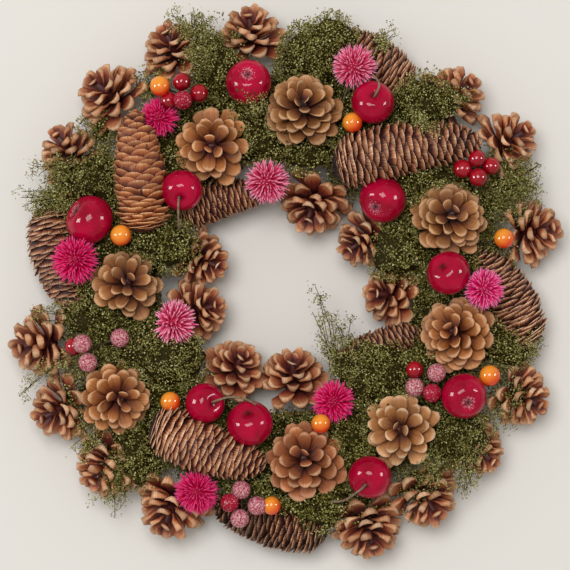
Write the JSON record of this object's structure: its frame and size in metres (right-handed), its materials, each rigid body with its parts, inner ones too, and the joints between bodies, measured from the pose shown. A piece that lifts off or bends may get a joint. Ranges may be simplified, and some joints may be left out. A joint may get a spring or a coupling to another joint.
{
  "type": "wreath",
  "caption": "Round table wreath of dried pine and spruce cones with red apples, berries, magenta dried flowers and moss on a straw ring.",
  "frame": {"origin": "middle of the hole, on the surface that the wreath lies on", "axes": "+Z out of the wreath's face, away from the surface; +Y to the top of the face as hung; +X to its right"},
  "size_m": [0.3795, 0.3811, 0.0796],
  "materials": {
    "straw": "dry straw, bound round and round",
    "pine_cone_scale": "dry woody scales with pale ends",
    "spruce_cone_scale": "dry papery scales",
    "apple_lacquer": "deep red gloss lacquer",
    "flower_bract": "dry dyed bracts, magenta",
    "red_berry_lacquer": "red gloss lacquer, some sugar frosted",
    "orange_berry_lacquer": "orange gloss lacquer",
    "moss": "dried dark green moss"
  },
  "bodies": {
    "root": {"straw_ring": "straw", "pine_cone_face_1": "pine_cone_scale", "pine_cone_face_2": "pine_cone_scale", "pine_cone_face_3": "pine_cone_scale", "pine_cone_face_4": "pine_cone_scale", "pine_cone_face_5": "pine_cone_scale", "pine_cone_face_6": "pine_cone_scale", "pine_cone_face_7": "pine_cone_scale", "pine_cone_face_8": "pine_cone_scale", "pine_cones_outer_1": "pine_cone_scale", "pine_cones_outer_2": "pine_cone_scale", "pine_cones_outer_3": "pine_cone_scale", "pine_cones_outer_4": "pine_cone_scale", "pine_cones_outer_5": "pine_cone_scale", "pine_cones_outer_6": "pine_cone_scale", "pine_cones_outer_7": "pine_cone_scale", "pine_cones_inner_1": "pine_cone_scale", "pine_cones_inner_2": "pine_cone_scale", "pine_cones_inner_3": "pine_cone_scale", "spruce_cone_1": "spruce_cone_scale", "spruce_cone_2": "spruce_cone_scale", "spruce_cone_3": "spruce_cone_scale", "spruce_cone_4": "spruce_cone_scale", "spruce_cone_5": "spruce_cone_scale", "spruce_cone_6": "spruce_cone_scale", "spruce_cone_7": "spruce_cone_scale", "spruce_cone_8": "spruce_cone_scale", "spruce_cone_9": "spruce_cone_scale", "apple_1": "apple_lacquer", "apple_2": "apple_lacquer", "apple_3": "apple_lacquer", "apple_4": "apple_lacquer", "apple_5": "apple_lacquer", "apple_6": "apple_lacquer", "apple_7": "apple_lacquer", "apple_8": "apple_lacquer", "apples_9": "apple_lacquer", "flower_1": "flower_bract", "flower_2": "flower_bract", "flower_3": "flower_bract", "flower_4": "flower_bract", "flower_5": "flower_bract", "flower_6": "flower_bract", "flower_7": "flower_bract", "flower_8": "flower_bract", "berries_1": "red_berry_lacquer", "berries_2": "red_berry_lacquer", "berries_3": "red_berry_lacquer", "berries_4": "red_berry_lacquer", "berries_5": "red_berry_lacquer", "orange_berry_1": "orange_berry_lacquer", "orange_berry_2": "orange_berry_lacquer", "orange_berry_3": "orange_berry_lacquer", "orange_berry_4": "orange_berry_lacquer", "orange_berry_5": "orange_berry_lacquer", "orange_berry_6": "orange_berry_lacquer", "moss_1": "moss", "moss_2": "moss", "moss_3": "moss", "moss_4": "moss"}
  },
  "joints": []
}
